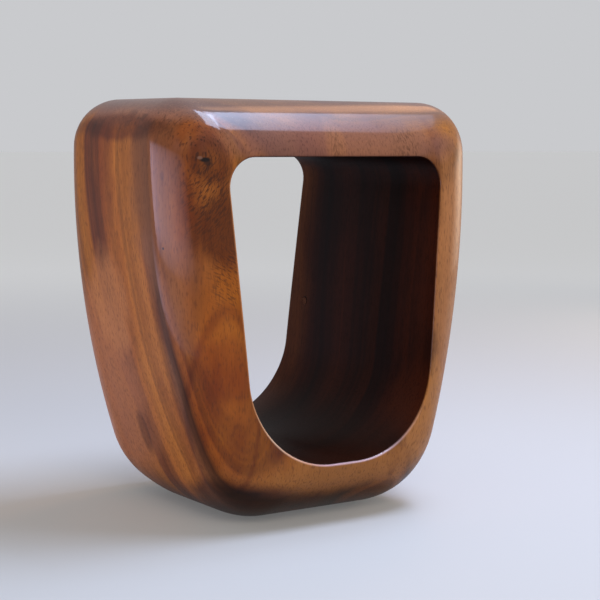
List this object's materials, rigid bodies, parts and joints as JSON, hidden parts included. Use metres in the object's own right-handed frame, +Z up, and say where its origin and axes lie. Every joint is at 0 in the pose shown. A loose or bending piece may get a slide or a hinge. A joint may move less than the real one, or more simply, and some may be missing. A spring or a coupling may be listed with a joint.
{
  "type": "accent stool",
  "caption": "Low accent stool carved from one block of solid timber, with rounded edges, tapering sides and one rounded opening through it from front to back.",
  "frame": {"origin": "on the floor, at the middle of the stool", "axes": "+X to the right seen from the front, +Y to the back, +Z up; the opening runs along Y"},
  "size_m": [0.4, 0.2976, 0.45],
  "materials": {
    "lacquered_hardwood": "satin lacquer over figured tropical hardwood",
    "plug_hardwood": "satin lacquer",
    "glide_nylon": "moulded nylon",
    "screw_steel": "zinc plated steel"
  },
  "bodies": {
    "root": {"carved_block": "lacquered_hardwood", "knot_plug": "plug_hardwood", "glide_front_left": "glide_nylon", "glide_front_right": "glide_nylon", "glide_rear_left": "glide_nylon", "glide_rear_right": "glide_nylon", "glide_screw_front_left": "screw_steel", "glide_screw_front_right": "screw_steel", "glide_screw_rear_left": "screw_steel", "glide_screw_rear_right": "screw_steel"}
  },
  "joints": []
}
